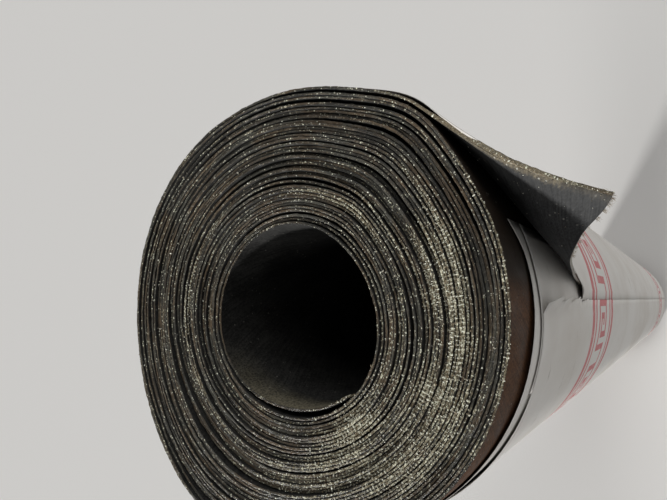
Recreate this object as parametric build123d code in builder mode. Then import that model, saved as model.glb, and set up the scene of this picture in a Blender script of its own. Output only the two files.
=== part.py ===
"""Roll of roofing felt, standing on one end, with the corner of its free edge lifted."""

import os
from math import cos, radians, sin

from build123d import *

os.makedirs("parts", exist_ok=True)

# The roll stands on the floor with its bore along Z, and the origin is the bore's centre at the floor.
# Angles are in degrees from +X, counter-clockwise seen from above, and the sheet winds outwards clockwise.

# The felt and its winding
felt_width = 1000.0
felt_thickness = 1.2
outer_radius = 75.0
bore_radius = 30.0

# How far each turn's edge stands back from the two ends, from the bore outwards and repeating
upper_wander = (0.0, 0.6, 0.2, 1.0, 0.4, 0.8, 0.3)
lower_wander = (0.0, 0.8, 0.8, 0.3, 0.3, 1.0, 1.0)

# The free edge, and its corner that is lifted at the upper end
free_edge_angle = 10.0
lift_angle = 45.0
lift_depth = 130.0
curl_radius = 188.0

# The lifted sheet starts a little inside the barrel, so that it grows out of it without a seam
root_lead = 7.0
root_sink = 0.7
bared_relief = 0.05
lift_shares = (1.0, 0.66, 0.33, 0.0)

# The loose inner end, whose edge is a step along the bore and which leaves a gap behind it at the upper end
inner_edge_angle = -45.0
inner_edge_fade = 65.0
inner_edge_step = 1.0
inner_gap = 1.8
inner_gap_angle = 66.0
inner_gap_depth = 160.0
inner_edge_hold = 3.0

# The paper round the barrel
paper_thickness = 0.3
paper_clearance = 0.1
paper_setback = 21.0
paper_margin = 1.5
paper_tuck_angle = 10.0
paper_tuck_margin = -12.0
paper_tuck_overlap = 2.0

turn_count = int((outer_radius - bore_radius) / felt_thickness) - 1
turned_radius = bore_radius + turn_count * felt_thickness
under_radius = outer_radius - felt_thickness
inner_turn_radius = bore_radius + felt_thickness
fade_radius = bore_radius + inner_edge_step / 2
paper_radius = under_radius + paper_clearance


def polar(radius, angle):
    """Point in plan at a radius and an angle in degrees."""
    return radius * cos(radians(angle)), radius * sin(radians(angle))


def winding_line(stand_off):
    """Draw one clockwise turn that starts under the free edge and grows outwards by the felt's thickness."""
    growth = felt_thickness / 4
    point = Vector(*polar(under_radius + stand_off, free_edge_angle))
    heading = Vector(*polar(1, free_edge_angle - 90))
    for quarter in range(4):
        radius = under_radius + stand_off + (quarter + 0.5) * growth
        arc = JernArc(point, heading, radius=radius, arc_size=-90)
        point = arc @ 1
        heading = arc % 1
    return point


def lifted_point(departure, run, inset):
    """Point of the lifted sheet, a run past the angle where it leaves the barrel, inset from its outer face."""
    heading = radians(departure - 90)
    turned = heading + run / curl_radius
    start_x, start_y = polar(outer_radius, departure)
    x = start_x + curl_radius * (sin(turned) - sin(heading)) + inset * sin(turned)
    y = start_y + curl_radius * (cos(heading) - cos(turned)) - inset * cos(turned)
    return x, y


def lifted_side(lift_share, inset):
    """Root, middle and tip of one face of the sheet, at the level that keeps this share of the lift."""
    departure = free_edge_angle + lift_angle * lift_share
    free_run = radians(lift_angle * lift_share) * outer_radius
    buried = outer_radius - root_sink - inset
    root = polar(buried, departure + root_lead)
    if lift_share == 0:
        return root, polar(buried, departure + root_lead / 2), polar(buried, departure)
    return root, lifted_point(departure, free_run / 2, inset), lifted_point(departure, free_run, inset)


def stepped_end(levels):
    """Corners of one end's section, from the bore outwards, where the turns take these levels in turn."""
    corners = []
    for turn in range(turn_count):
        inner = bore_radius + turn * felt_thickness
        level = levels[turn % len(levels)]
        if corners and corners[-1][1] == level:
            corners.pop()
        else:
            corners.append((inner, level))
        corners.append((inner + felt_thickness, level))
    return corners


def corner_wedge(margin):
    """Prism over the lifted corner, from the free edge to the slanting line where the sheet leaves the barrel."""
    middle_angle = free_edge_angle + lift_angle / 2
    half_width = outer_radius * sin(radians(lift_angle / 2))
    past_edge = min(margin, 0) - half_width - felt_thickness
    facing_corner = Plane(
        origin=(0, 0, felt_width),
        x_dir=polar(1, middle_angle + 90),
        z_dir=polar(1, middle_angle),
    )
    with BuildPart(mode=Mode.PRIVATE) as wedge:
        with BuildSketch(facing_corner):
            with BuildLine():
                Polyline(
                    (past_edge, felt_thickness),
                    (margin + half_width, felt_thickness),
                    (margin + half_width, 0),
                    (margin - half_width, -lift_depth),
                    (past_edge, -lift_depth),
                    close=True,
                )
            make_face()
        extrude(amount=2 * outer_radius)
    return wedge.part


def bend(radius_at_ends, radius_between, first_angle, last_angle):
    """Draw an arc between two angles that passes through another radius half-way."""
    middle_angle = (first_angle + last_angle) / 2
    ThreePointArc(
        polar(radius_at_ends, first_angle),
        polar(radius_between, middle_angle),
        polar(radius_at_ends, last_angle),
    )


# Wound sheet, as one turned solid whose turns each end at a height of their own
with BuildPart() as felt_roll:
    lower_end = stepped_end(lower_wander)
    upper_end = stepped_end([felt_width - wander for wander in upper_wander])
    with BuildSketch(Plane.XZ):
        with BuildLine():
            Polyline(*lower_end, *reversed(upper_end), close=True)
        make_face()
    revolve(axis=Axis.Z)

    # Last turn, which grows outwards to the step at the free edge
    with BuildSketch():
        with BuildLine():
            step_top = winding_line(0)
            Line(step_top, polar(under_radius, free_edge_angle))
        make_face()
        Circle(turned_radius, mode=Mode.SUBTRACT)
    extrude(amount=felt_width)

    # Inner edge of the sheet, a step along the bore that fades round the next turn
    edge_foot = polar(bore_radius, inner_edge_angle)
    edge_head = polar(bore_radius + inner_edge_step, inner_edge_angle)
    fade_end = polar(bore_radius, inner_edge_angle + inner_edge_fade)
    with BuildSketch():
        with BuildLine():
            Line(edge_foot, edge_head)
            ThreePointArc(edge_head, polar(fade_radius, inner_edge_angle + inner_edge_fade / 2), fade_end)
            bend(bore_radius, bore_radius, inner_edge_angle + inner_edge_fade, inner_edge_angle)
        make_face()
    extrude(amount=felt_width, mode=Mode.SUBTRACT)

    # Gap behind the loose inner end, widest between the two places where it touches the next turn
    gap_end_angle = inner_edge_angle - inner_edge_hold
    with BuildSketch(Plane.XY.offset(felt_width)):
        with BuildLine():
            bend(inner_turn_radius, inner_turn_radius, gap_end_angle, gap_end_angle - inner_gap_angle)
            bend(inner_turn_radius, inner_turn_radius + inner_gap, gap_end_angle - inner_gap_angle, gap_end_angle)
        make_face()
    extrude(amount=-inner_gap_depth, mode=Mode.SUBTRACT)

    # Where the corner is lifted, the turn below shows
    with BuildPart(mode=Mode.PRIVATE) as bared_turn:
        add(corner_wedge(0))
        Cylinder(under_radius + bared_relief, 2 * (felt_width + lift_depth), mode=Mode.SUBTRACT)
    add(bared_turn.part, mode=Mode.SUBTRACT)

    # Lifted corner, a strip of the sheet that shortens downwards until it lies on the barrel again
    for lift_share in lift_shares:
        level = felt_width - lift_depth * (1 - lift_share)
        with BuildSketch(Plane.XY.offset(level)):
            with BuildLine():
                outer_side = lifted_side(lift_share, 0)
                inner_side = lifted_side(lift_share, felt_thickness)
                ThreePointArc(*outer_side)
                Line(outer_side[-1], inner_side[-1])
                ThreePointArc(*inner_side)
                Line(inner_side[0], outer_side[0])
            make_face()
    loft()

felt_roll.part.label = "felt_roll"
export_step(felt_roll.part, "parts/felt_roll.step")

# Paper wrapper, whose two ends meet at the felt's free edge and which is torn away round the lifted corner
with BuildPart() as paper_wrapper:
    with BuildSketch(Plane.XY.offset(paper_setback)):
        with BuildLine():
            outer_end = winding_line(paper_clearance + paper_thickness)
            Line(outer_end, polar(under_radius + paper_clearance + paper_thickness, free_edge_angle))
        make_face()
        with BuildLine():
            inner_end = winding_line(paper_clearance)
            Line(inner_end, polar(under_radius + paper_clearance, free_edge_angle))
        make_face(mode=Mode.SUBTRACT)
    extrude(amount=felt_width - 2 * paper_setback)
    add(corner_wedge(paper_margin), mode=Mode.SUBTRACT)

    # Start of the paper, which was tucked under the felt's free edge and shows below the lifted corner
    with BuildPart(mode=Mode.PRIVATE) as tuck:
        with BuildSketch(Plane.XY.offset(felt_width - lift_depth)):
            with BuildLine():
                first_angle = free_edge_angle - paper_tuck_overlap
                last_angle = free_edge_angle + paper_tuck_angle
                bend(paper_radius, paper_radius, first_angle, last_angle)
                Line(polar(paper_radius, last_angle), polar(paper_radius + paper_thickness, last_angle))
                bend(paper_radius + paper_thickness, paper_radius + paper_thickness, last_angle, first_angle)
                Line(polar(paper_radius + paper_thickness, first_angle), polar(paper_radius, first_angle))
            make_face()
        extrude(amount=lift_depth - paper_setback)
        add(corner_wedge(paper_tuck_margin), mode=Mode.INTERSECT)
    add(tuck.part)

paper_wrapper.part.label = "paper_wrapper"
export_step(paper_wrapper.part, "parts/paper_wrapper.step")
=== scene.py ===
from math import cos, pi, radians, sin

import bpy
import numpy as np
from mathutils import Matrix, Vector


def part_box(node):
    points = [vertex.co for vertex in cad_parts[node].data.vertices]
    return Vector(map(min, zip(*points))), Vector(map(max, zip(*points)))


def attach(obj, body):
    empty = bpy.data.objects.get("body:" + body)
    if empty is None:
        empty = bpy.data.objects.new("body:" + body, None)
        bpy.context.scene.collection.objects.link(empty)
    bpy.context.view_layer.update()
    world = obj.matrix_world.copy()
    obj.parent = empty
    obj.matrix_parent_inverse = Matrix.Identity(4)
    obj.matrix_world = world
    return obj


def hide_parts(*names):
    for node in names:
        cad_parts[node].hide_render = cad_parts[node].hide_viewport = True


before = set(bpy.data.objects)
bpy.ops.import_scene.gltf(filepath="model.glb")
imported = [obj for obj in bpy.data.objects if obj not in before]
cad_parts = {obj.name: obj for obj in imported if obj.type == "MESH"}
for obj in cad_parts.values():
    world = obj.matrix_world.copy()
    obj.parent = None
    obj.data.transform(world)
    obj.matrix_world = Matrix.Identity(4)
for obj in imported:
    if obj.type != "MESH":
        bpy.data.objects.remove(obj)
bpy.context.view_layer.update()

# Camera: held close above the upper end of the roll, from where it looks down across the end and into the
# bore, so that the barrel runs away to the right towards the floor.
mm = 0.001
roll_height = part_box("felt_roll")[1][2]
rim_centre = Vector((-1.25 * mm, 1.0 * mm))
camera_place = (rim_centre.x + 112.7 * mm, rim_centre.y + 9.0 * mm, roll_height + 148.0 * mm)
view_right = Vector((0.8446, 0.0394, -0.534))
view_up = Vector((0.0, 0.9973, 0.0736))
view_back = Vector((0.5354, -0.0622, 0.8423))
photo_width = 667
focal_pixels = 562.0
sensor_width = 36.0

camera = bpy.data.objects.new("camera", bpy.data.cameras.new("camera"))
camera.data.sensor_width = sensor_width
camera.data.lens = focal_pixels / photo_width * sensor_width
camera.data.clip_start = 5 * mm
facing = Matrix((view_right, view_up, view_back)).transposed().to_4x4()
camera.matrix_world = Matrix.Translation(camera_place) @ facing
bpy.context.collection.objects.link(camera)
bpy.context.scene.camera = camera

# Wound felt: one sheet of bitumen felt from its loose inner end, round nearly 37 turns, to its free outer
# edge. It was wound by machine and pressed out of round at the upper end, so the gaps between turns vary.
felt_thickness = 0.88 * mm
whole_turns = 36
inner_edge_angle = radians(-45)
free_edge_angle = radians(10)
wound_angle = 2 * pi * whole_turns + (inner_edge_angle - free_edge_angle) % (2 * pi)
steps_per_turn = 720
column_spacing = 1.2 * mm
random = np.random.default_rng(37)

# Rims and bores in mm: rounds with waves in them, each a height, a number of crests and one crest's angle.
# The upper rim also bulges low on the left and where the corner is pulled away: height, angle and spread.
# The upper bore is drawn out to a blunt corner low on the right.
upper_rim, upper_rim_waves = 74.8, ((0.42, 3, 11), (0.27, 4, -29))
rim_bulges = ((4.4, -108, 22), (3.1, 56, 9))
upper_bore, upper_bore_waves = 30.0, ((1.85, 1, -52), (0.92, 2, -34), (0.48, 3, -32))
lower_rim, lower_rim_waves = 74.6, ((0.5, 2, 0),)
lower_bore = 30.2


def bump(angle, centre, spread):
    """One smooth swelling round an angle in degrees, with a spread in degrees."""
    off = (np.degrees(angle) - centre + 180) % 360 - 180
    return np.exp(-0.5 * (off / spread) ** 2)


def waved(radius, waves, angle):
    """Radius of a round with waves in it."""
    return radius + sum(height * np.cos(crests * (angle - radians(crest))) for height, crests, crest in waves)


def pressed_rim(angle):
    """Radius of the upper end's rim, in metres from the bore's centre."""
    radius = waved(upper_rim, upper_rim_waves, angle)
    for height, centre, spread in rim_bulges:
        radius += height * bump(angle, centre, spread)
    return mm * radius + rim_centre.x * np.cos(angle) + rim_centre.y * np.sin(angle)


def wander(count, spacing):
    """Smooth random line with this many steps, about one unit high, that turns every so many steps."""
    knots = random.standard_normal(int(count / spacing) + 3)
    place = np.arange(count) / spacing
    knot = place.astype(int)
    share = place - knot
    share = share * share * (3 - 2 * share)
    return knots[knot] * (1 - share) + knots[knot + 1] * share


winding = np.arange((whole_turns + 1) * steps_per_turn + 1) * (2 * pi / steps_per_turn)
lap_angle = inner_edge_angle - winding[:steps_per_turn]
looseness = np.exp(
    0.7 * wander(len(winding), 0.22 * steps_per_turn)
    + 0.6 * wander(len(winding), 0.9 * steps_per_turn)
)

# Laps, counted from the bore, that stand off from the next one: the angle where they do so most, the spread
# in degrees, and by how many usual gaps
stand_offs = (
    (31, 30, 18, 5.0), (28, 62, 22, 4.0), (24, 128, 25, 1.6), (19, 35, 20, 4.0), (15, -70, 26, 2.5),
    (10, 95, 22, 2.5), (8, -20, 18, 3.0), (34, 150, 30, 1.6), (33, -75, 24, 3.5), (21, -120, 20, 2.2),
    (26, 10, 26, 4.0), (30, -150, 30, 2.0), (27, 175, 28, 1.5), (35, 75, 20, 3.0), (12, 20, 20, 3.0),
)
for lap, centre, spread, usual_gaps in stand_offs:
    off = np.degrees(winding) - 360 * lap - (np.degrees(inner_edge_angle) - centre) % 360
    looseness += usual_gaps * np.exp(-0.5 * (off / spread) ** 2)


def wind_up(rim, bore):
    """Middle line of the sheet as a radius for each step of the winding, between a bore and a rim."""
    finest_wave = 24
    fitting_rounds = 8
    per_lap = looseness[:-1].reshape(whole_turns + 1, steps_per_turn)
    lap_share = np.arange(steps_per_turn) / steps_per_turn
    past_free_edge = (free_edge_angle - lap_angle) % (2 * pi)
    on_last_lap = lap_share * 2 * pi < wound_angle % (2 * pi)
    gaps = np.where(on_last_lap, whole_turns, whole_turns - 1)
    total = np.where(on_last_lap, per_lap[:-1].sum(axis=0), per_lap[:-2].sum(axis=0))
    pitch = np.mean(rim - bore) / whole_turns
    outermost = rim - pitch * (1 - past_free_edge / (2 * pi)) - felt_thickness / 2
    growth = pitch
    # The first turn grows by an amount that is found in a few rounds, so that it ends where the second begins
    for _ in range(fitting_rounds):
        first_turn = bore + felt_thickness / 2 + growth * lap_share
        share = np.fft.rfft((outermost - first_turn - felt_thickness * gaps) / total)
        share[finest_wave:] = 0
        share = np.fft.irfft(share, steps_per_turn)
        growth = felt_thickness + share[0] * per_lap[0][0]
    radius = [first_turn]
    for lap in range(whole_turns):
        radius.append(radius[-1] + felt_thickness + share * per_lap[lap])
    return np.append(np.concatenate(radius), radius[-1][-1])


upper_radius = wind_up(pressed_rim(lap_angle), mm * waved(upper_bore, upper_bore_waves, lap_angle))
lower_radius = wind_up(mm * waved(lower_rim, lower_rim_waves, lap_angle), mm * lower_bore)

# The loose inner end bows away from the next turn between its tip and where it lies close again
bow_span = radians(80)
upper_bow = 1.0 * mm
lower_bow = 0.4 * mm
bow = np.sin(pi * np.clip(winding / bow_span, 0, 1) ** 0.85)
upper_radius -= upper_bow * bow
lower_radius -= lower_bow * bow


def spiral_points(radius, turned):
    """Places of the sheet's middle line after it has turned so far, in plan."""
    at = np.interp(turned, winding, radius)
    angle = inner_edge_angle - turned
    return np.stack((at * np.cos(angle), at * np.sin(angle)), axis=1)


def outward(line):
    """Unit normals of a line in plan, on its left, which on the sheet is away from the bore."""
    along = np.gradient(line, axis=0)
    along /= np.linalg.norm(along, axis=1, keepdims=True)
    return np.stack((-along[:, 1], along[:, 0]), axis=1)


# The sheet is made in columns of points that are evenly spaced along it
fine_steps = 40000
fine_turned = np.linspace(0, wound_angle, fine_steps)
fine_line = spiral_points(upper_radius, fine_turned)
fine_length = np.concatenate(((0,), np.cumsum(np.linalg.norm(np.diff(fine_line, axis=0), axis=1))))
sheet_length = fine_length[-1]
column_count = int(sheet_length / column_spacing)
column_place = np.linspace(0, sheet_length, column_count)
from_free_edge = sheet_length - column_place
column_turned = np.interp(column_place, fine_length, fine_turned)
column_angle = inner_edge_angle - column_turned
column_lap = column_turned / (2 * pi)
upper_line = spiral_points(upper_radius, column_turned)
lower_line = spiral_points(lower_radius, column_turned)
upper_out = outward(upper_line)
lower_out = outward(lower_line)

# Each turn's edge stands back by its own amount, and is ragged where the knife tore the fibres
half_turn = 0.5 * column_count / (wound_angle / (2 * pi))
upper_step = 0.5 * wander(column_count, half_turn) + 0.3 * wander(column_count, 30)
upper_step = np.clip(0.7 + upper_step + 0.07 * wander(column_count, 3), 0.0, 2.2) * mm
lower_step = np.clip(0.6 + 0.5 * wander(column_count, half_turn), 0.0, 1.6) * mm


def smooth_step(value, low, high):
    """Smooth rise from 0 to 1 between two limits."""
    share = np.clip((value - low) / (high - low), 0, 1)
    return share * share * (3 - 2 * share)


def rubbed(patches):
    """Sum of patches on the cut edges, each an angle, a lap, spreads in degrees and laps, and a strength."""
    total = np.zeros(column_count)
    for angle, lap, angle_spread, lap_spread, strength in patches:
        over_laps = np.exp(-0.5 * ((column_lap - lap) / lap_spread) ** 2)
        total += strength * bump(column_angle, angle, angle_spread) * over_laps
    return total


def random_patches(count, angle_spread, lap_spread, strength):
    """Patches anywhere on the end, whose spreads and strength lie between two limits each."""
    return zip(
        random.uniform(-180, 180, count), random.uniform(0, whole_turns + 1, count),
        random.uniform(*angle_spread, count), random.uniform(*lap_spread, count),
        random.uniform(*strength, count),
    )


# Loose mineral dust was rubbed over the cut edges on the right of the end, from low on the right to a line
# that lies higher on the inner laps than on the outer ones. Some patches have more of it, and some less.
degrees_round = (np.degrees(column_angle) + 180) % 360 - 180
dusty_from = 63 - 26 * smooth_step(column_lap, 12, 15)
dusty = smooth_step(dusty_from - degrees_round, -5, 4) * smooth_step(degrees_round, -84, -64)
dust_patches = (
    (-51, 7.5, 9, 2.6, 0.75), (22, 21, 8, 4.5, 0.55), (8, 23, 4, 3.5, 0.45), (-4, 24, 5, 3.0, 0.5),
    (-18, 20, 6, 5.0, 0.35), (-38, 24, 12, 5.0, 0.3), (-78, 17, 16, 7.0, 0.28), (30, 25, 20, 0.8, 0.5),
    (60, 9, 22, 0.7, 0.6), (95, 33, 35, 0.8, 0.35), (150, 13, 30, 0.9, 0.35), (-140, 14, 45, 0.8, 0.45),
    (50, 18, 11, 2.6, -0.45), (74, 20, 14, 2.2, -0.35), (-10, 16, 5, 2.5, -0.3), (2, 29, 9, 1.6, -0.45),
    (110, 19, 20, 4.0, -0.2), (-105, 8, 24, 3.0, -0.35), (65, 31, 30, 1.8, -0.35), (14, 12, 20, 1.6, -0.25),
    (22, 31, 34, 1.5, -0.4), (-20, 33, 20, 0.9, -0.25), (30, 15, 22, 1.3, -0.2),
)
patchy = 0.35 + 0.65 * dusty
dust_amount = -0.08 + dusty * (0.21 + 0.07 * np.cos(column_angle + radians(62))) + rubbed(dust_patches)
dust_amount += patchy * rubbed(random_patches(46, (1.2, 5), (2, 6), (-0.22, 0.3)))
dust_amount += patchy * rubbed(random_patches(90, (8, 40), (0.3, 1.2), (-0.3, 0.32)))
dust_amount = np.clip(dust_amount + 0.06 * wander(column_count, 8), 0, 1)

# Where there is little dust, the bitumen that the knife smeared shows, apart from bands that it missed
smear_patches = (
    (52, 18, 12, 3.0, 0.7), (74, 20, 14, 2.5, 0.4), (-3, 19, 4, 2.0, 0.6), (2, 29, 9, 1.8, 0.6),
    (30, 11, 25, 1.4, 0.5), (22, 31, 34, 1.5, 0.9),
)
smeared = 1 - 0.85 * dusty + rubbed(smear_patches)
smeared -= rubbed(random_patches(60, (8, 45), (0.3, 1.0), (0.3, 1.0)))
smeared = np.clip(smeared, 0, 1)

# The lifted corner was cut by hand, so its edge is level and dusty, most near its tip, and has no smear
corner_length = 75 * mm
on_corner = from_free_edge < corner_length
corner_dust = 0.28 + 0.5 * np.exp(-((from_free_edge / mm - 12) / 3) ** 2)
smeared[on_corner] = 0
dust_amount = np.where(on_corner, corner_dust, dust_amount)

# Lifted corner: the sheet leaves the barrel along a slanting line and curls outwards towards its corner,
# where the hand-cut edge runs out to a small ear. It curls at two creases, each a run, a spread in mm and
# the most degrees for each mm, and evenly past the second one.
lift_run = 58.5 * mm
lift_depth = 130 * mm
ear = 0.5 * mm
hollow = 2.5 * mm
hollow_depth = 13 * mm
corner_creases = ((0, 4, 0.42), (31, 6, 0.64))
even_curl = 0.27
even_from, even_full = 26 * mm, 36 * mm
ear_taper, ear_reach = 20 * mm, 26 * mm
line_steps = 200
lift_rows = np.concatenate((
    np.array((0.6, 1.3, 2.4, 4.0, 6.5)) * mm,
    np.arange(9.5, 140, 3.4) * mm,
))
first_lift_column = int(np.argmax(from_free_edge < lift_run + 12 * mm))
upper_step = np.where(from_free_edge < lift_run + 30 * mm, 0.12 * mm, upper_step)


def lift_left(depth):
    """Length of the sheet that hangs free of the barrel this far below the upper end."""
    return max(0.0, lift_run * (1 - depth / lift_depth))


def lifted_line(depth):
    """Middle line of the outermost turn's end, with its corner lifted, this far below the upper end."""
    share = 1 - depth / roll_height
    line = lower_line[first_lift_column:] * (1 - share) + upper_line[first_lift_column:] * share
    run_left = lift_left(depth)
    if run_left == 0:
        return line
    room = from_free_edge[first_lift_column:]
    leaving = np.array([np.interp(-run_left, -room, line[:, 0]), np.interp(-run_left, -room, line[:, 1])])
    along = np.gradient(line, axis=0)
    headings = np.unwrap(np.arctan2(along[:, 1], along[:, 0]))
    heading = np.interp(-run_left, -room, headings)
    run = np.linspace(0, run_left + ear, line_steps)
    bend = radians(even_curl) * smooth_step(run, even_from, even_full)
    for crease_run, spread, most in corner_creases:
        bend += radians(most) * np.exp(-0.5 * ((run / mm - crease_run) / spread) ** 2)
    turn = heading + np.cumsum(bend / mm) * (run[1] - run[0])
    free_x = leaving[0] + np.cumsum(np.cos(turn)) * (run[1] - run[0])
    free_y = leaving[1] + np.cumsum(np.sin(turn)) * (run[1] - run[0])
    reach = (ear - hollow * smooth_step(depth, 0, hollow_depth)) * smooth_step(run_left, 0, ear_taper)
    past = run_left - room + reach * smooth_step(-room, -ear_reach, 0)
    lifted = np.stack((np.interp(past, run, free_x), np.interp(past, run, free_y)), axis=1)
    return np.where(past[:, None] > 0, lifted, line)


felt_points = []
felt_places = []
felt_faces = []
felt_sides = []
felt_starts = []
flat_side, edge_shoulder, upper_cut, lower_cut, end_cut = range(5)


def felt_point(plan, height, place, through):
    """Add one point of the sheet, and note where it lies along, through and up the flat sheet."""
    felt_points.append((plan[0], plan[1], height))
    felt_places.append((place, through, height))
    return len(felt_points) - 1


def felt_face(corners, side, start):
    """Add one face of the sheet, on its flat side or a cut one, that starts this far along the sheet."""
    felt_faces.append(corners)
    felt_sides.append(side)
    felt_starts.append(start)


# The cut edge is a low ridge that is ragged and, where bitumen was smeared or dragged up, a little swollen.
# The sides have more rows of points where the bore or the barrel shows them.
edge_round = 0.12 * mm
edge_wall = 0.5 * mm
ridge_share = 0.86
ridge_place = 0.42 * mm
smear_burr = 0.24
drag_depth = 3 * mm
drag_swelling = 0.45 * mm
bared_length, bared_rows = 620 * mm, (860 * mm, 40 * mm)
bore_length, bore_rows = 205 * mm, (960 * mm, 40 * mm)
lifted_lines = [lifted_line(depth) for depth in lift_rows]
lifted_outs = [outward(line) for line in lifted_lines]
lifted_top = lifted_line(0)
lifted_top_out = outward(lifted_top)
ragged = random.normal(0, 0.055 * mm, (column_count, 5))
swelling = drag_swelling * smooth_step(-from_free_edge, -lift_run - 5 * mm, -35 * mm)
swelling *= 1 - 0.75 * smooth_step(-from_free_edge, -26 * mm, -8 * mm)


def cut_edge_at(i):
    """Middle of the sheet's upper cut edge at one column, and the way out from the bore there."""
    lifted = i - first_lift_column
    if lifted < 0:
        return upper_line[i], upper_out[i]
    return lifted_top[lifted], lifted_top_out[lifted]


def side_rows(i, half):
    """Rows of points on one column's two sides, downwards: height, middle, way out and half thickness."""
    lifted = i - first_lift_column
    if lifted < 0:
        rows = [(roll_height - upper_step[i] - edge_wall, upper_line[i], upper_out[i], half)]
    else:
        rows = []
        for depth, line, outs in zip(lift_rows, lifted_lines, lifted_outs):
            swollen = half + swelling[i] * np.exp(-depth / drag_depth)
            rows.append((roll_height - depth, line[lifted], outs[lifted], swollen))
    shown_heights = ()
    if from_free_edge[i] < bared_length:
        shown_heights = bared_rows if lifted < 0 else bared_rows[1:]
    elif column_place[i] < bore_length:
        shown_heights = bore_rows
    foot, foot_out = lower_line[i], lower_out[i]
    for height in shown_heights:
        share = height / roll_height
        middle = foot * (1 - share) + upper_line[i] * share
        out = foot_out * (1 - share) + upper_out[i] * share
        rows.append((height, middle, out, felt_thickness / 2))
    rows.append((lower_step[i], foot, foot_out, felt_thickness / 2))
    return rows


columns = []
for i in range(column_count):
    place = column_place[i]
    half = felt_thickness / 2 * (1 + smear_burr * smeared[i])
    outer, inner = [], []
    for height, middle, out, row_half in reversed(side_rows(i, half)):
        outer.append(felt_point(middle + out * row_half, height, place, felt_thickness / 2))
        inner.append(felt_point(middle - out * row_half, height, place, -felt_thickness / 2))
    middle, out = cut_edge_at(i)
    if i >= first_lift_column:
        half += swelling[i]
    shake = ragged[i]
    top = roll_height - upper_step[i]
    ridge_top = top - edge_round
    ridge = [
        felt_point(middle + out * (half * ridge_share + shake[0]), ridge_top + shake[1], place, ridge_place),
        felt_point(middle, top + shake[2], place, 0.0),
        felt_point(middle - out * (half * ridge_share + shake[3]), ridge_top + shake[4], place, -ridge_place),
    ]
    columns.append((outer, ridge, inner))

for column, next_column, start in zip(columns, columns[1:], column_place):
    outer, ridge, inner = column
    next_outer, next_ridge, next_inner = next_column
    if len(outer) == len(next_outer):
        for low in range(len(outer) - 1):
            felt_face((outer[low], outer[low + 1], next_outer[low + 1], next_outer[low]), flat_side, start)
            felt_face((inner[low], next_inner[low], next_inner[low + 1], inner[low + 1]), flat_side, start)
    else:
        felt_face((*outer, *reversed(next_outer)), flat_side, start)
        felt_face((*reversed(inner), *next_inner), flat_side, start)
    ring = [outer[-1], *ridge, inner[-1]]
    next_ring = [next_outer[-1], *next_ridge, next_inner[-1]]
    for i, kind in enumerate((edge_shoulder, upper_cut, upper_cut, edge_shoulder)):
        felt_face((ring[i], ring[i + 1], next_ring[i + 1], next_ring[i]), kind, start)
    felt_face((outer[0], next_outer[0], next_inner[0], inner[0]), lower_cut, start)
for (outer, ridge, inner), start in ((columns[0], 0.0), (columns[-1], sheet_length)):
    end_faces = [(outer[low], inner[low], inner[low + 1], outer[low + 1]) for low in range(len(outer) - 1)]
    end_faces.append((outer[-1], inner[-1], *reversed(ridge)))
    for corners in end_faces:
        felt_face(corners[::-1] if start else corners, end_cut, start)

felt_mesh = bpy.data.meshes.new("wound_felt")
felt_mesh.from_pydata(felt_points, [], felt_faces)
felt_mesh.update()
felt_sides = np.array(felt_sides)
felt_mesh.polygons.foreach_set("material_index", (felt_sides >= upper_cut).astype(np.int32))
felt_mesh.polygons.foreach_set("use_smooth", np.ones(len(felt_faces), dtype=bool))
felt_places = np.array(felt_places) / mm
sheet_place = felt_mesh.attributes.new("sheet_place", "FLOAT_VECTOR", "POINT")
sheet_place.data.foreach_set("vector", felt_places.ravel())
for name, amount in (("rubbed_dust", dust_amount), ("smeared_over", smeared)):
    attribute = felt_mesh.attributes.new(name, "FLOAT", "POINT")
    attribute.data.foreach_set("value", np.interp(felt_places[:, 0], column_place / mm, amount))
felt_mesh.set_sharp_from_angle(angle=radians(40))

# Room that each part of the sheet gets in the picture of its colours, in pixels of 1024: the cut edges lie
# in rows, like lines of writing, and the sides that the roll hides are squeezed into two thin bands. Places
# on the sheet are in mm here.
picture = 1024
upper_row, upper_row_room = 165, 7
lower_row, lower_row_room = 512, 2.5
lower_rows_from = 530
end_bands = (1013, 1004)
ear_length = 77
corner_count = np.zeros(len(felt_faces), dtype=np.int32)
felt_mesh.polygons.foreach_get("loop_total", corner_count)
corner_point = np.zeros(corner_count.sum(), dtype=np.int32)
felt_mesh.loops.foreach_get("vertex_index", corner_point)
along, through, up = felt_places[corner_point].T
side = np.repeat(felt_sides, corner_count)
start = np.repeat(np.array(felt_starts) / mm, corner_count)
length, half = sheet_length / mm, felt_thickness / 2 / mm
ridge_at, bared, bore_run = ridge_place / mm, bared_length / mm, bore_length / mm


def in_rows(row_length):
    """Row that each corner's face lies in, and where the corner lies along it, as a share."""
    row = start // row_length
    return row, (along - row * row_length) / (row_length + column_spacing * 1.2 / mm)


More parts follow.
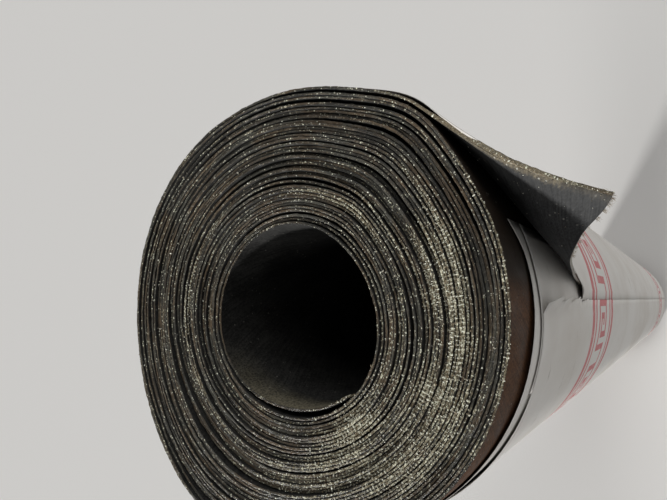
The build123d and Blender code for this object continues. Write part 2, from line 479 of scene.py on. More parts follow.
upper_rows, along_upper = in_rows(upper_row)
lower_rows, along_lower = in_rows(lower_row)
over_ridge = np.interp(through, (-half, -ridge_at, 0, ridge_at, half), (7, 6, 3.5, 1, 0))
bore_side = np.interp(up, (0, 40, 960, 1001), (810, 830, 918, 958))
ear_side = np.interp(up, (0, 860, 1001), (810, 820, 958))
barrel_side = np.interp(up, (0, 40, 860, 1001), (596, 636, 656, 806))
hidden_side = np.where(through > 0, 962, 981) + up * 0.016
on_side = side == flat_side
in_bore = on_side & (through < 0) & (start < bore_run)
on_barrel = on_side & (through > 0) & (length - start < bared)
on_ear = on_side & (through < 0) & (length - start < ear_length)
picture_rows = (
    (on_side, along / length, hidden_side),
    (in_bore, (266 + along * 3.6) / picture, bore_side),
    (on_barrel, 1 - (length - along) / (bared + 2), barrel_side),
    (on_ear, (258 - (length - along) * 3.3) / picture, ear_side),
    (np.isin(side, (edge_shoulder, upper_cut)), along_upper, upper_rows * upper_row_room + over_ridge),
    (side == lower_cut, along_lower, lower_rows_from + lower_rows * lower_row_room + (through + half) * 2.3),
    (side == end_cut, up / 1002, np.where(start > 0, end_bands[1], end_bands[0]) + (through + half) * 6),
)
picture_place = np.zeros((len(corner_point), 2))
for chosen, right, above in picture_rows:
    picture_place[chosen] = np.stack((np.clip(right, 0, 1), above / picture), axis=1)[chosen]
felt_mesh.uv_layers.new(name="OFBake").data.foreach_set("uv", picture_place.ravel())


def new_piece(name, mesh):
    """Put a finished mesh into the scene."""
    piece = bpy.data.objects.new(name, mesh)
    bpy.context.collection.objects.link(piece)
    return piece


wound_felt = new_piece("wound_felt", felt_mesh)


def fill_sockets(material, node, inputs):
    """Fill a node's sockets, by values or by links from other nodes."""
    for socket, value in inputs.items():
        if isinstance(value, bpy.types.NodeSocket):
            material.node_tree.links.new(value, node.inputs[socket])
        else:
            node.inputs[socket].default_value = value


def shader_node(material, kind, inputs=None, **settings):
    """Add one node to a finish, with its options set and its sockets filled."""
    node = material.node_tree.nodes.new(kind)
    for name, value in settings.items():
        setattr(node, name, value)
    fill_sockets(material, node, inputs or {})
    return node


def new_finish(name):
    """Start an empty finish."""
    material = bpy.data.materials.new(name)
    material.use_nodes = True
    return material


def coat_with(mesh, material, inputs):
    """Fill in a finish's shader and give the finish to a mesh."""
    fill_sockets(material, material.node_tree.nodes["Principled BSDF"], inputs)
    mesh.materials.append(material)


def stretched(material, vector, stretch):
    """A place divided by the size that one spot should have along each axis."""
    return shader_node(material, "ShaderNodeVectorMath", {0: vector, 1: [1 / size for size in stretch]},
                       operation="MULTIPLY").outputs["Vector"]


def mottle(material, vector, stretch, detail=4.0, roughness=0.6):
    """Noise whose spots have a size of their own along each axis."""
    return shader_node(material, "ShaderNodeTexNoise", {
        "Vector": stretched(material, vector, stretch), "Scale": 1.0,
        "Detail": detail, "Roughness": roughness,
    }).outputs["Fac"]


def ramp(material, value, low, high, to_low=0.0, to_high=1.0):
    """Smooth step of a value between two limits."""
    return shader_node(material, "ShaderNodeMapRange", {
        "Value": value, "From Min": low, "From Max": high, "To Min": to_low, "To Max": to_high,
    }, interpolation_type="SMOOTHSTEP").outputs["Result"]


def blend(material, share, first, second):
    """Colour between two others, each a socket or a red, green and blue."""
    first, second = ((*side, 1) if isinstance(side, tuple) else side for side in (first, second))
    return shader_node(material, "ShaderNodeMix", {"Factor": share, 6: first, 7: second},
                       data_type="RGBA").outputs[2]


def combine(material, operation, first, second):
    """One step of arithmetic on two values."""
    return shader_node(material, "ShaderNodeMath", {0: first, 1: second}, operation=operation).outputs[0]


def both(material, first, second):
    """Share that is high only where two others are."""
    return combine(material, "MULTIPLY", first, second)


def add_share(material, value, part, weight):
    """A value with so much of another added to it."""
    return combine(material, "ADD", value, combine(material, "MULTIPLY", part, weight))


def add_swing(material, value, noise, weight):
    """A value that a noise swings up and down by so much."""
    return add_share(material, value, combine(material, "SUBTRACT", noise, 0.5), weight)


def relief(material, height, strength, distance):
    """Fine relief for the shader, from a height."""
    return shader_node(material, "ShaderNodeBump", {
        "Height": height, "Strength": strength, "Distance": distance,
    }).outputs["Normal"]


def grains(material, vector, stretch, size, edge):
    """Round spots, one to a cell, with a random number for each cell."""
    cells = shader_node(material, "ShaderNodeTexVoronoi", {
        "Vector": stretched(material, vector, stretch), "Scale": 1.0, "Randomness": 0.8,
    })
    pick = shader_node(material, "ShaderNodeSeparateColor", {"Color": cells.outputs["Color"]}).outputs["Red"]
    return ramp(material, cells.outputs["Distance"], size + edge, size - edge), pick


def before_edge(distance):
    """Place along the flat sheet, in mm, that lies this many mm before its free edge."""
    return (sheet_length - distance * mm) / mm


# Cut edge: bitumen that the knife smeared, with torn tan fibres and rows of pale mineral grains in it, which
# the knife dragged along its own stroke. Spots on the flat sheet have sizes in mm along, through and up it.
stroke_angle = radians(62)
film_brown, film_grey, corner_tan = (0.108, 0.0787, 0.0457), (0.159, 0.142, 0.0864), (0.32, 0.265, 0.175)
smear_brown, smear_grey, smear_dark = (0.13, 0.091, 0.053), (0.096, 0.092, 0.073), (0.029, 0.0265, 0.0205)
coat_black, speck_dull, speck_pale = (0.0076, 0.007, 0.0057), (0.184, 0.152, 0.0914), (0.92, 0.876, 0.66)
bead_white = (0.92, 0.92, 0.711)
cut_edge = new_finish("felt_cut_edge")
flat_place = shader_node(cut_edge, "ShaderNodeAttribute", attribute_name="sheet_place").outputs["Vector"]
solid_place = shader_node(cut_edge, "ShaderNodeTexCoord").outputs["Object"]
stroke_place = shader_node(cut_edge, "ShaderNodeVectorRotate", {
    "Vector": solid_place, "Angle": -stroke_angle,
}, rotation_type="Z_AXIS").outputs["Vector"]
dust = shader_node(cut_edge, "ShaderNodeAttribute", attribute_name="rubbed_dust").outputs["Fac"]
smear_share = shader_node(cut_edge, "ShaderNodeAttribute", attribute_name="smeared_over").outputs["Fac"]
split_place = shader_node(cut_edge, "ShaderNodeSeparateXYZ", {"Vector": flat_place})
along, through = split_place.outputs["X"], split_place.outputs["Y"]
corner_share = ramp(cut_edge, along, before_edge(75), before_edge(55))
streak = mottle(cut_edge, flat_place, (17, 1.3, 5), 4, 0.62)
stroke = mottle(cut_edge, stroke_place, (3.4 * mm, 0.45 * mm, 3 * mm), 3, 0.6)
fray = mottle(cut_edge, flat_place, (0.6, 0.28, 0.5), 3, 0.7)
wavering = mottle(cut_edge, flat_place, (17, 1000, 1000), 3, 0.5)
line_place = combine(cut_edge, "MULTIPLY", combine(cut_edge, "SUBTRACT", wavering, 0.5), 1.6)
off_line = combine(cut_edge, "ABSOLUTE", combine(cut_edge, "SUBTRACT", through, line_place), 0.0)
dusted = add_swing(cut_edge, dust, streak, 1.45)
dusted = add_swing(cut_edge, dusted, stroke, 0.9)
dusted = add_share(cut_edge, dusted, ramp(cut_edge, off_line, 0.3, 0.08), 0.22)
dusted = add_share(cut_edge, dusted, corner_share, -0.35)
coat = add_swing(cut_edge, combine(cut_edge, "ABSOLUTE", through, 0.0), fray, 0.35)
coat = both(cut_edge, ramp(cut_edge, coat, 0.24, 0.4), ramp(cut_edge, dusted, 0.2, 0.75, 1.0, 0.25))
coat = both(cut_edge, coat, ramp(cut_edge, smear_share, 0.0, 1.0, 1.0, 0.25))
dusted = add_share(cut_edge, dusted, coat, -0.4)
patch = mottle(cut_edge, solid_place, (13 * mm, 13 * mm, 13 * mm), 2, 0.5)
hue = mottle(cut_edge, flat_place, (21, 1.5, 5), 3, 0.5)
hue = add_share(cut_edge, combine(cut_edge, "MULTIPLY", hue, 0.6), patch, 0.4)
tone = mottle(cut_edge, flat_place, (30, 2.5, 5), 3, 0.55)
tone = add_share(cut_edge, combine(cut_edge, "MULTIPLY", tone, 0.75), stroke, 0.25)
paleness = mottle(cut_edge, flat_place, (1.5, 0.8, 3), 3, 0.65)
clump = mottle(cut_edge, flat_place, (0.85, 0.55, 0.9), 2, 0.55)
film = blend(cut_edge, ramp(cut_edge, hue, 0.42, 0.6), film_brown, film_grey)
tan_share = both(cut_edge, corner_share, ramp(cut_edge, along, before_edge(8), before_edge(20), 0.05, 0.75))
film = blend(cut_edge, tan_share, film, corner_tan)
smear = blend(cut_edge, ramp(cut_edge, hue, 0.43, 0.56), smear_brown, smear_grey)
smear = blend(cut_edge, ramp(cut_edge, tone, 0.38, 0.6), smear_dark, smear)
smear = blend(cut_edge, combine(cut_edge, "MULTIPLY", coat, 0.75), smear, coat_black)
film_share = ramp(cut_edge, combine(cut_edge, "ADD", dusted, corner_share), 0.25, 0.65)
film_share = both(cut_edge, film_share, ramp(cut_edge, fray, 0.35, 0.6, 0.3, 1.0))
colour = blend(cut_edge, film_share, smear, film)
speck_share = ramp(cut_edge, add_share(cut_edge, clump, dusted, 0.4), 0.69, 0.77)
speck = blend(cut_edge, ramp(cut_edge, paleness, 0.46, 0.68), speck_dull, speck_pale)
colour = blend(cut_edge, speck_share, colour, speck)
bead, bead_pick = grains(cut_edge, flat_place, (0.75, 0.6, 0.7), 0.36, 0.1)
bead_share = both(cut_edge, bead, ramp(cut_edge, add_share(cut_edge, bead_pick, dusted, 0.55), 0.9, 0.98))
relief_height = clump
for part, weight in ((fray, 0.35), (stroke, 0.4), (bead_share, 0.3)):
    relief_height = add_share(cut_edge, relief_height, part, weight)
cut_edge_shading = {
    "Base Color": blend(cut_edge, bead_share, colour, bead_white),
    "Roughness": ramp(cut_edge, speck_share, 0.0, 0.6, 0.36, 0.9),
    "Specular IOR Level": 0.45,
    "Normal": relief(cut_edge, relief_height, 0.9, 0.55 * mm),
}

# Flat side: dull black bitumen, brown where the barrel shows and a darker painted shade on the lap that lies
# in the lifted corner's shadow, with dust just below the cut edge in the bore, and with dust and torn tan
# fibres just below the edge of the lifted corner.
scrape_lean = radians(28)
wound_dark, wound_light = (0.011, 0.0108, 0.0102), (0.038, 0.037, 0.034)
corner_dark, corner_light = (0.012, 0.0123, 0.0127), (0.042, 0.042, 0.043)
barrel_dark, barrel_light = (0.0356, 0.0146, 0.0051), (0.109, 0.047, 0.0184)
torn_dark, torn_light = (0.108, 0.0851, 0.0546), (0.254, 0.216, 0.146)
# The first colour on the next line is painted shade: the darker brown of the lap that lies in the lifted
# corner's shadow.
painted_shade_brown, bore_dust = (0.019, 0.0125, 0.008), (0.24, 0.212, 0.145)
dust_grey, crumb_pale = (0.047, 0.0465, 0.0445), (0.432, 0.419, 0.368)
felt_side = new_finish("felt_side")
flat_place = shader_node(felt_side, "ShaderNodeAttribute", attribute_name="sheet_place").outputs["Vector"]
split_place = shader_node(felt_side, "ShaderNodeSeparateXYZ", {"Vector": flat_place})
along, through, up = (split_place.outputs[axis] for axis in "XYZ")
scrape_place = shader_node(felt_side, "ShaderNodeVectorRotate", {
    "Vector": flat_place, "Angle": scrape_lean,
}, rotation_type="Y_AXIS").outputs["Vector"]
outer_side = ramp(felt_side, through, -0.1, 0.1)
cloud = mottle(felt_side, flat_place, (14, 14, 22), 4, 0.6)
grain = mottle(felt_side, flat_place, (0.6, 0.6, 0.9), 3, 0.7)
scrape = mottle(felt_side, scrape_place, (0.45, 1, 13), 3, 0.6)
side_tone = add_share(felt_side, combine(felt_side, "MULTIPLY", grain, 0.6), scrape, 0.4)
side_tone = add_swing(felt_side, side_tone, cloud, 0.4)
side_share = ramp(felt_side, side_tone, 0.36, 0.66)
wound_colour = blend(felt_side, side_share, wound_dark, wound_light)
corner_colour = blend(felt_side, side_share, corner_dark, corner_light)
barrel_colour = blend(felt_side, side_share, barrel_dark, barrel_light)
# Painted shade: where the lap below the outermost turn lies in the lifted corner's shadow, it turns a darker
# brown.
under_corner_painted_shade = ramp(felt_side, along, before_edge(462), before_edge(474))
barrel_colour = blend(felt_side, under_corner_painted_shade, barrel_colour, painted_shade_brown)
barrel_colour = blend(felt_side, outer_side, corner_colour, barrel_colour)
barrel_from = sheet_length - bared_length
barrel_share = ramp(felt_side, along, barrel_from / mm, (barrel_from + 5 * mm) / mm)
colour = blend(felt_side, barrel_share, wound_colour, barrel_colour)
loose_dust = mottle(felt_side, flat_place, (5, 1, 1.6), 4, 0.7)
bore_share = ramp(felt_side, along, 64.0, 22.0)
bore_share = both(felt_side, bore_share, combine(felt_side, "SUBTRACT", 1.0, outer_side))
bore_share = both(felt_side, bore_share, ramp(felt_side, grain, 0.38, 0.6, 0.3, 1.0))
dust_share = ramp(felt_side, add_swing(felt_side, up, loose_dust, 8.0), 979.0, 999.0)
colour = blend(felt_side, both(felt_side, dust_share, bore_share), colour, bore_dust)
torn = mottle(felt_side, flat_place, (0.7, 1, 1.1), 4, 0.75)
near_edge = add_swing(felt_side, up, torn, 5.0)
corner_share = ramp(felt_side, along, before_edge(85), before_edge(60))
dusted_share = both(felt_side, corner_share, ramp(felt_side, scrape, 0.3, 0.6, 0.3, 0.65))
dusted_share = both(felt_side, ramp(felt_side, near_edge, 982.0, 1000.0), dusted_share)
colour = blend(felt_side, dusted_share, colour, dust_grey)
torn_share = both(felt_side, ramp(felt_side, near_edge, 997.6, 1001.0), corner_share)
torn_share = both(felt_side, torn_share, ramp(felt_side, along, before_edge(7), before_edge(15), 0.25, 1.0))
torn_colour = blend(felt_side, ramp(felt_side, grain, 0.3, 0.7), torn_dark, torn_light)
colour = blend(felt_side, torn_share, colour, torn_colour)
crumb, crumb_pick = grains(felt_side, flat_place, (1.0, 0.9, 1.2), 0.28, 0.12)
crumb_chance = add_share(felt_side, combine(felt_side, "MULTIPLY", torn_share, 0.5), cloud, 0.2)
crumb_share = ramp(felt_side, combine(felt_side, "ADD", crumb_pick, crumb_chance), 1.04, 1.2)
coat_with(felt_mesh, felt_side, {
    "Base Color": blend(felt_side, both(felt_side, crumb, crumb_share), colour, crumb_pale),
    "Roughness": ramp(felt_side, cloud, 0.3, 0.7, 0.6, 0.82),
    "Specular IOR Level": 0.2,
    "Normal": relief(felt_side, side_tone, 0.4, 0.2 * mm),
})
coat_with(felt_mesh, cut_edge, cut_edge_shading)
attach(wound_felt, "root")
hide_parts("felt_roll")

# Mineral grains: crushed slate and sand from the felt's dusting, broken loose by the knife and caught on
# the cut edges and the lifted corner, most where the dust was rubbed.
grain_count = 8500
big_count = 260
crumb_count = 170
grain_chance = 0.012 + dust_amount ** 2
grain_column = random.choice(column_count, grain_count, p=grain_chance / grain_chance.sum())
grain_size = 0.1 * mm + 0.22 * mm * random.power(0.55, grain_count)
big_chance = 0.12 + dust_amount
big_column = random.choice(column_count, big_count, p=big_chance / big_chance.sum())
grain_column = np.append(grain_column, big_column)
grain_size = np.append(grain_size, random.uniform(0.28, 0.46, big_count) * mm)
unit_grain = np.array((
    (0.9, 0.1, 0.1), (-0.8, 0.2, -0.1), (0.1, 1.0, -0.2), (-0.1, -0.9, 0.2), (0.2, 0.1, 0.8),
    (-0.1, 0.1, -0.7), (0.6, 0.6, 0.4), (-0.5, -0.5, 0.5),
))
grain_sides = (
    (4, 6, 0), (4, 2, 6), (6, 2, 0), (4, 7, 1), (4, 1, 2), (4, 3, 7), (7, 3, 1), (4, 0, 3),
    (5, 2, 1), (5, 0, 2), (5, 1, 3), (5, 3, 0),
)
grain_points = []
grain_faces = []


def lay_grain(plan, height, size):
    """Add one broken grain, turned and squeezed its own way."""
    turn = Matrix.Rotation(random.uniform(0, 2 * pi), 3, random.uniform(-1, 1, 3).tolist())
    shape = unit_grain * random.uniform(0.7, 1.15, 3) @ np.array(turn) * size + (plan[0], plan[1], height)
    first = len(grain_points)
    grain_points.extend(shape.tolist())
    grain_faces.extend([[first + corner for corner in corners] for corners in grain_sides])


for i, size in zip(grain_column, grain_size):
    off_middle = random.normal(0, 0.3) * felt_thickness
    middle, out = cut_edge_at(i)
    plan = middle + out * np.clip(off_middle, -0.45 * mm, 0.45 * mm)
    lay_grain(plan, roll_height - upper_step[i] + size * 0.3, size)
lifted_count = len(lifted_lines[0])
for _ in range(crumb_count):
    depth_row = int(random.integers(0, 12) * random.uniform(0.2, 1))
    column = int(lifted_count * (1 - random.uniform(0, 0.75) ** 1.4)) - 1
    line, outs = lifted_lines[depth_row], lifted_outs[depth_row]
    size = random.uniform(0.07, 0.19) * mm
    plan = line[column] - outs[column] * (felt_thickness / 2 + size * 0.2)
    lay_grain(plan, roll_height - (lift_rows[depth_row] + random.uniform(-0.4, 0.9) * mm), size)

grain_mesh = bpy.data.meshes.new("mineral_grains")
grain_mesh.from_pydata(grain_points, [], grain_faces)


def give_each_a_cell(mesh, points_each):
    """Give every small like thing in a mesh a cell of its own in the picture of its colours."""
    margin, flat_share, height_share = 0.1, 0.7, 0.1
    places = np.array([point.co for point in mesh.vertices]).reshape(-1, points_each, 3)
    places -= places.min(axis=1, keepdims=True)
    places /= places.max(axis=(1, 2), keepdims=True)
    cells_across = int(np.ceil(np.sqrt(len(places))))
    cell_number = np.arange(len(places))
    cell_corner = np.stack((cell_number % cells_across, cell_number // cells_across), axis=1)[:, None, :]
    leaning = places[:, :, :2] * flat_share + places[:, :, 2:] * height_share
    spots = ((cell_corner + margin + leaning) / cells_across).reshape(-1, 2)
    corners = np.zeros(len(mesh.loops), dtype=np.int32)
    mesh.loops.foreach_get("vertex_index", corners)
    mesh.uv_layers.new(name="OFBake").data.foreach_set("uv", spots[corners].ravel())


give_each_a_cell(grain_mesh, len(unit_grain))
mineral_grains = new_piece("mineral_grains", grain_mesh)
mineral_brown, mineral_white = (0.254, 0.191, 0.114), (0.92, 0.92, 0.775)
mineral = new_finish("pale_mineral")
solid_place = shader_node(mineral, "ShaderNodeTexCoord").outputs["Object"]
paleness = mottle(mineral, solid_place, (1.1 * mm, 1.1 * mm, 1.1 * mm), 1, 0.5)
coat_with(grain_mesh, mineral, {
    "Base Color": blend(mineral, ramp(mineral, paleness, 0.35, 0.62), mineral_brown, mineral_white),
    "Roughness": 0.45,
})
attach(mineral_grains, "root")

# Torn fibres: tan hairs of the felt's core that the knife pulled out of the sheet and left standing on its
# cut edges, thickest and longest at the lifted corner.
hair_steps = 5
hair_sides = 3
corner_hair_width = 0.035 * mm
end_hair_width = 0.03 * mm
hair_points = []
hair_faces = []


def pull_hair(root, direction, length, thickness):
    """Add one thin curved hair as a three-sided tapering tube."""
    direction = Vector(direction).normalized()
    swerve = Vector(random.normal(0, 1, 3).tolist()) * 0.55
    spot = Vector(root)
    first = len(hair_points)
    for step in range(hair_steps + 1):
        aside = direction.orthogonal().normalized()
        for corner in range(hair_sides):
            ray = Matrix.Rotation(corner * 2 * pi / hair_sides, 3, direction) @ aside
            hair_points.append(spot + ray * thickness * (1 - 0.75 * step / hair_steps))
        spot = spot + direction * length / hair_steps
        direction = (direction + swerve * 0.35).normalized()
    for step in range(hair_steps):
        for corner in range(hair_sides):
            a = first + step * hair_sides + corner
            b = first + step * hair_sides + (corner + 1) % hair_sides
            hair_faces.append((a, b, b + hair_sides, a + hair_sides))
    tip = first + hair_steps * hair_sides
    hair_faces.append((first + 2, first + 1, first))
    hair_faces.append((tip, tip + 1, tip + 2))


# Hairs along the corner's upper edge, down its outermost edge, and over the rest of the wound end
for _ in range(120):
    back = random.uniform(0, 1) ** 2 * 40 * mm
    plan, out = cut_edge_at(int(np.argmin(abs(from_free_edge - back))))
    onward = np.array((out[1], -out[0]))
    off_middle = random.uniform(-0.5, 0.5) * mm
    lean = onward * random.uniform(-0.4, 0.9) + out * random.normal(0, 0.4, 2)
    pull_hair((*(plan + out * off_middle), roll_height - 0.4 * mm), (*lean, 0.7),
              random.uniform(0.5, 1.5) * mm, corner_hair_width)
for _ in range(240):
    depth_row = int(random.integers(0, 11))
    plan, out = lifted_lines[depth_row][-1], lifted_outs[depth_row][-1]
    onward = np.array((out[1], -out[0]))
    off_middle = random.uniform(-0.5, 0.5) * mm
    depth = lift_rows[depth_row] + random.uniform(-0.5, 2.5) * mm * (depth_row > 3)
    hair_length = random.uniform(0.5, 1.4) * mm * (1.3 if depth < 8 * mm else 0.7)
    pull_hair((*(plan + out * off_middle), roll_height - depth),
              (*(onward + random.normal(0, 0.3, 2)), random.normal(0.1, 0.5)), hair_length, corner_hair_width)
for _ in range(380):
    i = int(random.choice(column_count, p=grain_chance / grain_chance.sum()))
    if i >= first_lift_column:
        continue
    plan, out = cut_edge_at(i)
    pull_hair((*plan, roll_height - upper_step[i] - 0.15 * mm), (*random.normal(0, 1, 2), 0.6),
              random.uniform(0.4, 1.3) * mm, end_hair_width)

hair_mesh = bpy.data.meshes.new("torn_fibres")
hair_mesh.from_pydata([tuple(point) for point in hair_points], [], hair_faces)
hair_mesh.polygons.foreach_set("use_smooth", np.ones(len(hair_faces), dtype=bool))
give_each_a_cell(hair_mesh, hair_sides * (hair_steps + 1))
torn_fibres = new_piece("torn_fibres", hair_mesh)
fibre_brown, fibre_tan = (0.203, 0.152, 0.0953), (0.457, 0.381, 0.267)
fibre = new_finish("tan_fibre")
solid_place = shader_node(fibre, "ShaderNodeTexCoord").outputs["Object"]
paleness = mottle(fibre, solid_place, (4 * mm, 4 * mm, 4 * mm), 2, 0.5)
coat_with(hair_mesh, fibre, {
    "Base Color": blend(fibre, ramp(fibre, paleness, 0.35, 0.65), fibre_brown, fibre_tan),
    "Roughness": 0.7,
})
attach(torn_fibres, "root")

# Paper wrapper: one sheet of thin white wrapping paper whose folded start was tucked under the felt's free
# edge. It was drawn once round the barrel, pasted over its own start, and torn where the corner is lifted.
paper_thickness = 0.15 * mm
paper_gap = 0.15 * mm
mean_radius = 75 * mm
around = 2 * pi * mean_radius
wrap_cells = 120
cell = around / wrap_cells
tuck = 20 * mm
tuck_cells = 6
overlap_cells = 23
slit_cells = 24
tear_depth = 122 * mm
paper_low = 21 * mm
paper_setback = 18 * mm
low_rows, middle_rows, torn_rows = 30, 60, 100
fold_rows, fold_columns = 38, 15

# Two printed borders, one near each end and mirrored: stripes, and a plain fret between them
fret_cells = 20
fret_from_end = 135 * mm
stripe_levels = (0, 1, 3, 16, 18, 19)
motif_from = 6
fret_motif = (
    "########..",
    "#......#..",
    "#.####.#..",
    "#.#..#.#..",
    "#.##.#.#..",
    "#....#.#..",
    "######.###",
    "..........",
)
fret_low = fret_from_end + fret_cells * cell
fret_high = roll_height - fret_low
paper_rows = np.concatenate((
    np.linspace(paper_low, fret_from_end, low_rows, endpoint=False),
    np.linspace(fret_from_end, fret_low, fret_cells, endpoint=False),
    np.linspace(fret_low, fret_high, middle_rows, endpoint=False),
    np.linspace(fret_high, roll_height - fret_from_end, fret_cells, endpoint=False),
    np.linspace(roll_height - fret_from_end, roll_height - paper_setback, torn_rows),
))
print_top = len(paper_rows) - torn_rows
creases = random.uniform(-1, 1, (7, 4))
paper_points = []
paper_faces = []
paper_printed = []


def tear_line(depth):
    """How far before the felt's free edge the paper's turn and its overlap are torn off at this depth."""
    down = depth / mm
    jag = 1.5 * sin(0.21 * down + 1) + 0.7 * sin(0.57 * down + 2 * sin(0.13 * down))
    jag = mm * (jag + 0.35 * sin(1.3 * down + 1.5 * sin(0.31 * down)) + 0.15 * sin(2.2 * down))
    run = 31 * mm - 37 * mm * float(smooth_step(depth, 18 * mm, tear_depth))
    return run + jag * float(smooth_step(-depth, -tear_depth, -105 * mm)), -5 * mm + 0.5 * jag


def on_barrel_paper(turned, depth, stand_off):
    """Point of the paper this far round past the felt's free edge and below the upper end."""
    share = 1 - depth / roll_height
    lap_start = wound_angle - 2 * pi
    past_turn = turned > around
    run = turned - around * past_turn
    at = lap_start + run / mean_radius
    radius = np.interp(at, winding, upper_radius) * share + np.interp(at, winding, lower_radius) * (1 - share)
    if past_turn:
        lift = np.linalg.norm(lifted_line(depth)[-1]) - radius if depth < lift_depth else felt_thickness
        ridge = float(smooth_step(run, 0, 8 * mm))
        radius += (1 - ridge) * max(lift, 0.9 * mm) + 0.35 * mm
    angle = free_edge_angle - turned / mean_radius
    radius += felt_thickness / 2 + stand_off
    return radius * cos(angle), radius * sin(angle), roll_height - depth


def wrinkle(turned, depth):
    """How far the paper's small creases stand out at one place."""
    height = 0.0
    for k, (a, b, c, d) in enumerate(creases):
        phase = turned / mm * (0.035 + 0.022 * k) * (1 + 0.15 * a)
        phase = phase + depth / mm * (0.012 + 0.016 * k) * b + 6 * c
        height += (0.10 - 0.006 * k) * (1 + sin(phase + 1.5 * sin(0.5 * phase + 4 * d)))
    return height * 0.5 * mm


def is_printed(row, column):
    """Whether the red of one of the two borders is printed on this cell of the paper."""
    for level in (row - low_rows, print_top - 1 - row):
        motif_row = level - motif_from
        if level in stripe_levels:
            return True
        if 0 <= motif_row < len(fret_motif):
            return fret_motif[motif_row][column % len(fret_motif[0])] == "#"
    return False


def lay_paper(rows, columns, place, printed=None):
    """Add a patch of paper as a grid of points, whose place is asked for by row and column."""
    first = len(paper_points)
    for row in rows:
        for column in columns:
            paper_points.append(place(row, column))
    width = len(columns)
    for down in range(len(rows) - 1):
        for right in range(width - 1):
            corner = first + down * width + right
            paper_faces.append((corner, corner + 1, corner + width + 1, corner + width))
            paper_printed.append(bool(printed and printed(rows[down], columns[right])))


def edge_shift(turned):
    """How far below its usual depth the paper's upper edge lies, as the paper was wrapped a little askew."""
    place = turned / mm
    dip = 4.5 * np.exp(-0.5 * ((place + 2) / 13) ** 2) - 3.0 * float(smooth_step(-place, 8, 24))
    askew = -17.6 * float(np.clip(turned / (around - 50 * mm), 0, 1)) ** 1.6
    return (dip + askew + 0.5 * sin(place * 0.05) + 0.3 * sin(place * 0.13 + 2)) * mm


def main_place(row, column):
    """Point of the main turn of paper, from its tucked start to its tear over the lifted corner."""
    depth = roll_height - paper_rows[row]
    if column < 0:
        turned = -min(tuck, max(lift_left(depth) - 4 * mm, -0.8 * mm)) * -column / tuck_cells
    elif column <= wrap_cells - slit_cells:
        turned = column * cell
    else:
        start = (wrap_cells - slit_cells) * cell
        end = around - tear_line(depth)[0] if depth < tear_depth else around + 5 * mm
        turned = start + (end - start) * (column - wrap_cells + slit_cells) / slit_cells
    depth += edge_shift(turned) * float(smooth_step(-depth, -60 * mm, -18 * mm))
    flare = 0.9 * mm * float(smooth_step(-depth, -34 * mm, -18 * mm)) * (0.6 + 0.4 * sin(turned * 60))
    stand_off = paper_gap + wrinkle(turned, depth) + flare
    run_before = around - turned
    run_left = lift_left(depth)
    if depth >= lift_depth or run_before >= run_left + 2 * mm or turned >= around:
        return on_barrel_paper(turned, depth, stand_off)
    line = lifted_line(depth)
    outs = outward(line)
    room = from_free_edge[first_lift_column:]
    spot = [np.interp(-run_before, -room, line[:, axis]) for axis in (0, 1)]
    out = [np.interp(-run_before, -room, outs[:, axis]) for axis in (0, 1)]
    run = run_left - run_before
    taper = float(smooth_step(run, 0, 9 * mm)) * float(smooth_step(-run, -27 * mm, -15 * mm))
    swollen = float(smooth_step(run, -5 * mm, 23.5 * mm)) * np.exp(-max(depth, 0) / drag_depth)
    stand_off += felt_thickness / 2 - flare * float(smooth_step(run, -2 * mm, 8 * mm))
    stand_off -= (stand_off - felt_thickness / 2 - 0.1 * mm) * float(smooth_step(run, 8 * mm, 16 * mm))
    stand_off += drag_swelling * swollen
    torn_down = 3 * mm * float(smooth_step(run, 19 * mm, 27 * mm))
    depth += (torn_down - 2.6 * mm * taper) * float(smooth_step(-depth, -10 * mm, 0))
    return spot[0] + out[0] * stand_off, spot[1] + out[1] * stand_off, roll_height - depth


def overlap_place(row, column):
    """Point of the paper's outer end, which is pasted over its start past the felt's free edge."""
    depth = roll_height - paper_rows[row]
    start = around + 5 * mm - (tear_line(depth)[1] + 5 * mm if depth < tear_depth else 0)
    joined = wrap_cells + 8
    if column <= joined:
        turned = start + (joined * cell - start) * (column - wrap_cells) / (joined - wrap_cells)
    else:
        turned = column * cell
    depth += 12 * mm * float(smooth_step(-depth, -90 * mm, -18 * mm))
    flare = 0.5 * mm * float(smooth_step(-depth, -42 * mm, -28 * mm))
    return on_barrel_paper(turned, depth, paper_gap + 0.25 * mm + wrinkle(turned, depth) + flare)


def fold_place(row, column):
    """Point of the paper's folded start, a second layer on the first beside the lifted corner."""
    depth = 28.5 * mm + row * 2 * mm
    left = -min(tuck - 0.6 * mm, lift_left(depth) - 5 * mm)
    turned = left + (34 * mm - left) * column / (fold_columns - 1)
    depth += 1.2 * mm * sin(turned * 90) * float(smooth_step(-row, -8, 0))
    flare = 0.7 * mm * float(smooth_step(-row, -5, 0))
    return on_barrel_paper(turned, depth, paper_gap + 0.22 * mm + wrinkle(turned, depth) + flare)


all_rows = range(len(paper_rows))
lay_paper(all_rows, range(-tuck_cells, wrap_cells + 1), main_place,
          lambda row, column: column >= 0 and is_printed(row, column))
lay_paper(all_rows, range(wrap_cells, wrap_cells + overlap_cells + 1), overlap_place, is_printed)
lay_paper(range(fold_rows), range(fold_columns), fold_place)

paper_mesh = bpy.data.meshes.new("paper_wrap")
paper_mesh.from_pydata(paper_points, [], paper_faces)
paper_mesh.polygons.foreach_set("material_index", np.array(paper_printed, dtype=np.int32))
paper_mesh.polygons.foreach_set("use_smooth", np.ones(len(paper_faces), dtype=bool))
paper_mesh.flip_normals()
paper_wrap = new_piece("paper_wrap", paper_mesh)
thickness = paper_wrap.modifiers.new("paper_thickness", "SOLIDIFY")
thickness.thickness = paper_thickness
thickness.offset = 1.0
thickness.material_offset_rim = 0

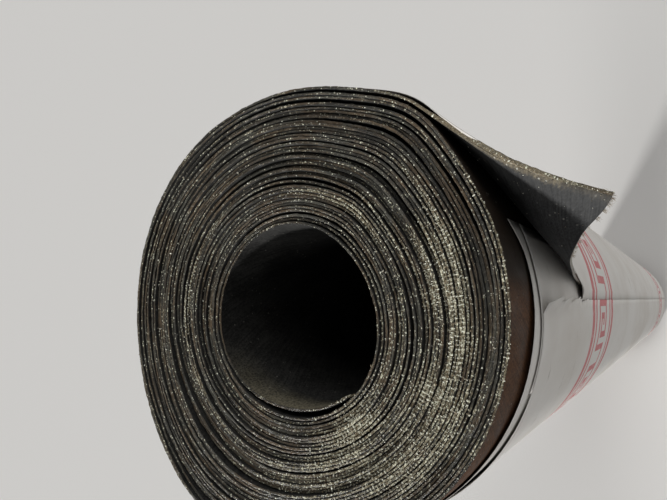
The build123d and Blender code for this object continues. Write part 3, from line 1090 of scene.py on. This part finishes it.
# White paper: matt pulp, a little creamy in clouds, with grey scuffs and soil near its upper edge
paper_white, paper_cream = (0.70, 0.68, 0.65), (0.60, 0.565, 0.52)
scuff_grey, edge_soil = (0.34, 0.31, 0.27), (0.30, 0.265, 0.235)
white_paper = new_finish("white_paper")
solid_place = shader_node(white_paper, "ShaderNodeTexCoord").outputs["Object"]
cloud = mottle(white_paper, solid_place, (50 * mm, 50 * mm, 90 * mm), 4, 0.55)
pulp = mottle(white_paper, solid_place, (1.6 * mm, 1.6 * mm, 3 * mm), 3, 0.6)
scuff = mottle(white_paper, solid_place, (20 * mm, 20 * mm, 12 * mm), 6, 0.72)
colour = blend(white_paper, ramp(white_paper, cloud, 0.35, 0.7), paper_white, paper_cream)
colour = blend(white_paper, ramp(white_paper, scuff, 0.6, 0.78), colour, scuff_grey)
up = shader_node(white_paper, "ShaderNodeSeparateXYZ", {"Vector": solid_place}).outputs["Z"]
near_edge = ramp(white_paper, up, roll_height - 9 * mm, roll_height - 2 * mm, 0.0, 0.3)
coat_with(paper_mesh, white_paper, {
    "Base Color": blend(white_paper, near_edge, colour, edge_soil),
    "Roughness": 0.6,
    "Specular IOR Level": 0.35,
    "Normal": relief(white_paper, pulp, 0.25, 0.1 * mm),
})

# Dull red print: thin ink, worn pale in spots
fresh_red, worn_red = (0.56, 0.15, 0.16), (0.66, 0.45, 0.42)
red_print = new_finish("dull_red_print")
solid_place = shader_node(red_print, "ShaderNodeTexCoord").outputs["Object"]
worn = mottle(red_print, solid_place, (4 * mm, 4 * mm, 4 * mm), 5, 0.7)
coat_with(paper_mesh, red_print, {
    "Base Color": blend(red_print, ramp(red_print, worn, 0.5, 0.8), fresh_red, worn_red),
    "Roughness": 0.6,
    "Specular IOR Level": 0.35,
})
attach(paper_wrap, "root")
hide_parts("paper_wrapper")

# Stage: a plain pale floor, one soft lamp low at the front that casts the rim's shadow on the lifted
# corner, and weaker light from behind and all round.
floor_reach = 6
floor_corners = [(x * floor_reach, y * floor_reach, 0) for x, y in ((-1, -1), (1, -1), (1, 1), (-1, 1))]
floor_mesh = bpy.data.meshes.new("floor")
floor_mesh.from_pydata(floor_corners, [], [(0, 1, 2, 3)])
floor = new_piece("floor", floor_mesh)
coat_with(floor_mesh, new_finish("pale_floor"), {
    "Base Color": (0.79, 0.775, 0.75, 1),
    "Roughness": 0.8,
    "Specular IOR Level": 0.1,
})


def studio_light(name, azimuth, elevation, softness, strength):
    """Even light from one direction in degrees, as from a large soft box far away."""
    light = bpy.data.lights.new(name, "SUN")
    light.angle = radians(softness)
    light.energy = strength
    lamp = bpy.data.objects.new(name, light)
    direction = Vector((
        cos(radians(azimuth)) * cos(radians(elevation)),
        sin(radians(azimuth)) * cos(radians(elevation)),
        sin(radians(elevation)),
    ))
    lamp.location = Vector((0, 0, roll_height)) + direction
    lamp.rotation_euler = direction.to_track_quat("Z", "Y").to_euler()
    bpy.context.collection.objects.link(lamp)


studio_light("front_light", 245, 13, 6, 3.6)
studio_light("side_light", 262, 34, 25, 0.6)
studio_light("back_light", 75, 36, 40, 1.0)
world = bpy.data.worlds.new("studio")
world.use_nodes = True
world.node_tree.nodes["Background"].inputs["Color"].default_value = (0.98, 0.99, 1.0, 1)
world.node_tree.nodes["Background"].inputs["Strength"].default_value = 0.21
bpy.context.scene.world = world
bpy.context.scene.view_settings.view_transform = "Standard"
